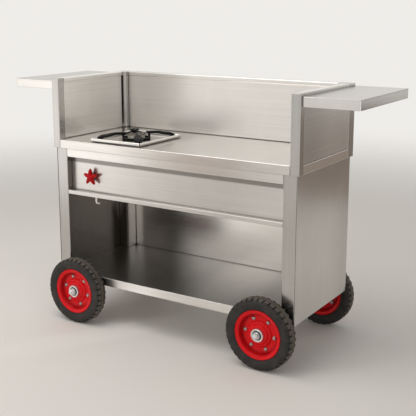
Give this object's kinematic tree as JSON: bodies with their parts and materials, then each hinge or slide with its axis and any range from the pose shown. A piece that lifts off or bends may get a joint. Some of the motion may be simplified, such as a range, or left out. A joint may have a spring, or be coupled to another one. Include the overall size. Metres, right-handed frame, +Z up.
{
  "type": "mobile counter",
  "caption": "Stainless steel mobile counter on red disc wheels, with a gas ring, splash guards on three sides, end shelves and an open shelf below.",
  "frame": {"origin": "on the floor, under the middle of the counter", "axes": "+X to the counter's right end, -Y to its open front, +Z up"},
  "size_m": [1.73, 0.7, 1.13],
  "materials": {
    "stainless": "brushed stainless sheet and tube, satin",
    "rim_red": "gloss red paint",
    "tyre_rubber": "black rubber, slightly dusty",
    "hub_steel": "bright turned steel",
    "bearing_steel": "ground steel",
    "chrome": "bright zinc plate",
    "bolt_steel": "zinc-plated steel",
    "bracket_paint": "dark satin paint",
    "knob_red": "gloss red plastic",
    "cast_iron": "black enamelled cast iron",
    "burner_alloy": "cast alloy, matt",
    "brass": "plain brass",
    "copper_pipe": "drawn copper",
    "nickel": "nickel plate"
  },
  "bodies": {
    "counter": {"front_left_post": "stainless", "front_right_post": "stainless", "rear_left_post": "stainless", "rear_right_post": "stainless", "base_frame": "stainless", "top_frame": "stainless", "left_side_panel": "stainless", "right_side_panel": "stainless", "back_panel": "stainless", "bottom_shelf": "stainless", "worktop": "stainless", "front_guard_posts": "stainless", "rear_guard_posts": "stainless", "left_guard_rail": "stainless", "right_guard_rail": "stainless", "back_guard_rail": "stainless", "left_guard_panel": "stainless", "right_guard_panel": "stainless", "back_guard_panel": "stainless", "left_side_shelf": "stainless", "right_side_shelf": "stainless", "fascia_panel": "stainless", "hob_tray": "stainless", "burner_body": "burner_alloy", "gas_valve": "brass", "feed_pipe": "copper_pipe", "inlet_elbow": "nickel", "wheel_axles": "chrome", "axle_brackets": "bracket_paint", "axle_washers": "chrome", "axle_nuts": "chrome", "frame_bolts": "bolt_steel"},
    "front_left_wheel": {"front_left_tyre": "tyre_rubber", "front_left_outer_rim": "rim_red", "front_left_inner_rim": "rim_red", "front_left_hub": "hub_steel", "front_left_bearings": "bearing_steel", "front_left_rim_bolts": "bolt_steel"},
    "front_right_wheel": {"front_right_tyre": "tyre_rubber", "front_right_outer_rim": "rim_red", "front_right_inner_rim": "rim_red", "front_right_hub": "hub_steel", "front_right_bearings": "bearing_steel", "front_right_rim_bolts": "bolt_steel"},
    "rear_left_wheel": {"rear_left_tyre": "tyre_rubber", "rear_left_outer_rim": "rim_red", "rear_left_inner_rim": "rim_red", "rear_left_hub": "hub_steel", "rear_left_bearings": "bearing_steel", "rear_left_rim_bolts": "bolt_steel"},
    "rear_right_wheel": {"rear_right_tyre": "tyre_rubber", "rear_right_outer_rim": "rim_red", "rear_right_inner_rim": "rim_red", "rear_right_hub": "hub_steel", "rear_right_bearings": "bearing_steel", "rear_right_rim_bolts": "bolt_steel"},
    "knob": {"star_knob": "knob_red", "valve_spindle": "brass"},
    "support": {"pan_support": "cast_iron"},
    "cap": {"burner_cap": "burner_alloy"}
  },
  "joints": [
    {"name": "front_left_wheel_spin", "type": "hinge", "parent": "counter", "child": "front_left_wheel", "pos_m": [-0.487, -0.295, 0.1525], "axis": [0, 1, 0], "continuous": true},
    {"name": "front_right_wheel_spin", "type": "hinge", "parent": "counter", "child": "front_right_wheel", "pos_m": [0.487, -0.295, 0.1525], "axis": [0, 1, 0], "continuous": true},
    {"name": "rear_left_wheel_spin", "type": "hinge", "parent": "counter", "child": "rear_left_wheel", "pos_m": [-0.487, 0.295, 0.1525], "axis": [0, 1, 0], "continuous": true},
    {"name": "rear_right_wheel_spin", "type": "hinge", "parent": "counter", "child": "rear_right_wheel", "pos_m": [0.487, 0.295, 0.1525], "axis": [0, 1, 0], "continuous": true},
    {"name": "knob_turn", "type": "hinge", "parent": "counter", "child": "knob", "pos_m": [-0.433, -0.225, 0.687], "axis": [0, -1, 0], "range_deg": [0, 180]},
    {"name": "support_lift", "type": "slide", "parent": "counter", "child": "support", "axis": [0, 0, 1], "range_m": [0, 0.08]},
    {"name": "cap_lift", "type": "slide", "parent": "counter", "child": "cap", "axis": [0, 0, 1], "range_m": [0, 0.04]}
  ]
}
